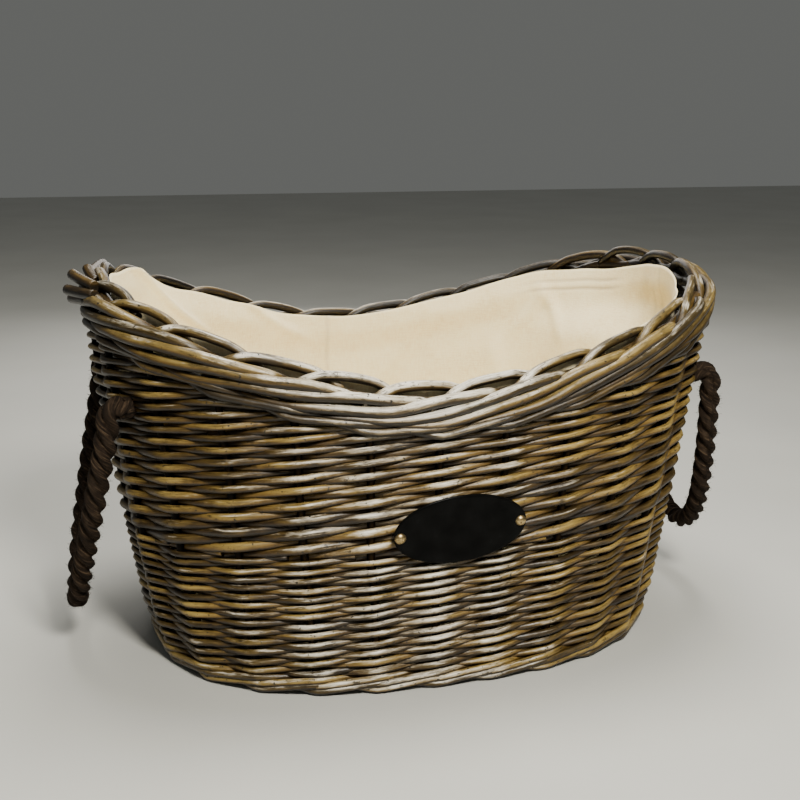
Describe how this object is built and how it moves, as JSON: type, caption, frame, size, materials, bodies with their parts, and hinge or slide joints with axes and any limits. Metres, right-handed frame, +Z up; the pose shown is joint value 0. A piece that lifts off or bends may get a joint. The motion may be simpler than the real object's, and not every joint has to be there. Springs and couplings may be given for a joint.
{
  "type": "wicker log basket",
  "caption": "Oval boat-shaped wicker log basket with raised ends, a rolled border, a sewn-in cloth liner, rope loop handles and a small blank oval plaque.",
  "frame": {"origin": "on the floor under the middle of the basket body, ropes left out", "axes": "+X along the basket's length towards its right end as seen from the plaque side, +Y to the back (the plaque faces -Y), +Z up"},
  "size_m": [0.722, 0.4476, 0.392],
  "materials": {
    "base_stick": "stripped willow, grey washed",
    "stake": "whole willow rod, dark stained",
    "weave": "willow rods with an antique grey wash, semi-gloss",
    "border_rod": "thick willow rods with an antique grey wash, semi-gloss",
    "liner": "unbleached cotton calico, matte",
    "rope": "dark brown three-strand natural fibre rope, hairy",
    "plaque": "glossy black enamel, blank",
    "rivet": "antique brass"
  },
  "bodies": {
    "basket": {"base_long_sticks": "base_stick", "base_cross_sticks": "base_stick", "base_weave": "weave", "foot_wale": "weave", "front_stakes": "stake", "back_stakes": "stake", "left_stakes": "stake", "right_stakes": "stake", "lower_weave": "weave", "upper_weave": "weave", "left_packing": "weave", "right_packing": "weave", "top_wale": "border_rod", "border": "border_rod", "liner_floor": "liner", "liner_wall": "liner", "left_front_knot": "rope", "left_back_knot": "rope", "right_front_knot": "rope", "right_back_knot": "rope", "plaque": "plaque", "left_rivet": "rivet", "right_rivet": "rivet"},
    "left_handle": {"left_rope_handle": "rope"},
    "right_handle": {"right_rope_handle": "rope"}
  },
  "joints": [
    {"name": "left_handle_swing", "type": "hinge", "parent": "basket", "child": "left_handle", "pos_m": [-0.31012, 0, 0.28], "axis": [0, 1, 0], "range_deg": [0, 145]},
    {"name": "right_handle_swing", "type": "hinge", "parent": "basket", "child": "right_handle", "pos_m": [0.31012, 0, 0.28], "axis": [0, -1, 0], "range_deg": [0, 145]}
  ]
}
